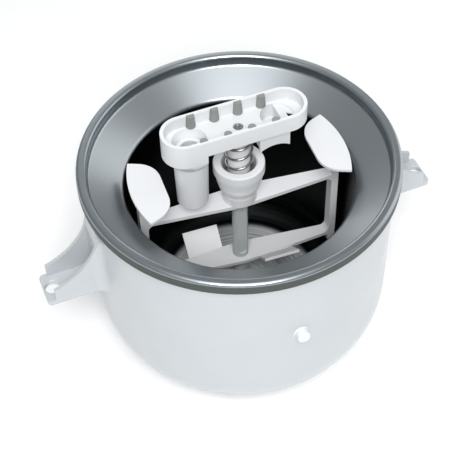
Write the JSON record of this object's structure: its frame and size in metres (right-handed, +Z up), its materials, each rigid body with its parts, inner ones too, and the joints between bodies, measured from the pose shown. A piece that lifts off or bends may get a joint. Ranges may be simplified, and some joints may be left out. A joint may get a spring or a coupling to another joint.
{
  "type": "ice cream maker",
  "caption": "Double-walled freezer bowl with two hanging ears, a turning dasher with wings and scraper tabs, and a spring-loaded clip-on drive.",
  "frame": {"origin": "centre of the flat base, on the bowl's axis", "axes": "+Z up along the bowl's axis, X through the two ears, -Y towards the latch stud"},
  "size_m": [0.2884, 0.218, 0.2022],
  "materials": {
    "shell_plastic": "satin moulded polypropylene",
    "liner_metal": "satin hard anodised",
    "seal_rubber": "matt moulded rubber",
    "gel_liquid": "sealed freezing liquid",
    "white_plastic": "satin moulded acetal",
    "post_plastic": "matt moulded nylon",
    "washer_fibre": "pressed fibre",
    "steel": "ground stainless",
    "spring_wire": "bright drawn wire",
    "pad_rubber": "matt moulded elastomer"
  },
  "bodies": {
    "bowl": {"outer_shell": "shell_plastic", "bowl_liner": "liner_metal", "rim_seal": "seal_rubber", "freezing_gel": "gel_liquid", "fill_plug": "white_plastic", "plug_seal": "seal_rubber", "latch_stud": "white_plastic"},
    "foot": {"foot_bush": "white_plastic"},
    "dasher": {"dasher_frame": "white_plastic", "dasher_post": "post_plastic", "dasher_hub": "white_plastic"},
    "plate": {"clutch_plate": "white_plastic", "friction_washer": "washer_fibre"},
    "drive": {"drive_housing": "white_plastic", "socket_bush": "white_plastic", "rear_grip_pads": "pad_rubber", "front_grip_pads": "pad_rubber", "drive_spindle": "white_plastic", "spindle_screw": "steel", "thrust_washer": "steel", "retaining_ring": "steel", "clutch_spring": "spring_wire"},
    "driver": {"clutch_driver": "white_plastic", "spring_seat": "steel"}
  },
  "joints": [
    {"name": "dasher_lift", "type": "slide", "parent": "bowl", "child": "foot", "axis": [0, 0, 1], "range_m": [0, 0.17]},
    {"name": "dasher_spin", "type": "hinge", "parent": "foot", "child": "dasher", "pos_m": [0, 0, 0.04], "axis": [0, 0, 1], "continuous": true},
    {"name": "drive_lift", "type": "slide", "parent": "dasher", "child": "plate", "axis": [0, 0, 1], "range_m": [0, 0.06]},
    {"name": "clutch_slip", "type": "hinge", "parent": "plate", "child": "drive", "pos_m": [0, 0, 0.137], "axis": [0, 0, 1], "continuous": true},
    {"name": "clutch_ride", "type": "slide", "parent": "drive", "child": "driver", "axis": [0, 0, 1], "range_m": [0, 0.004], "stiffness_N_per_m": 2000, "springref_m": -0.004, "deforming": ["clutch_spring"]}
  ]
}
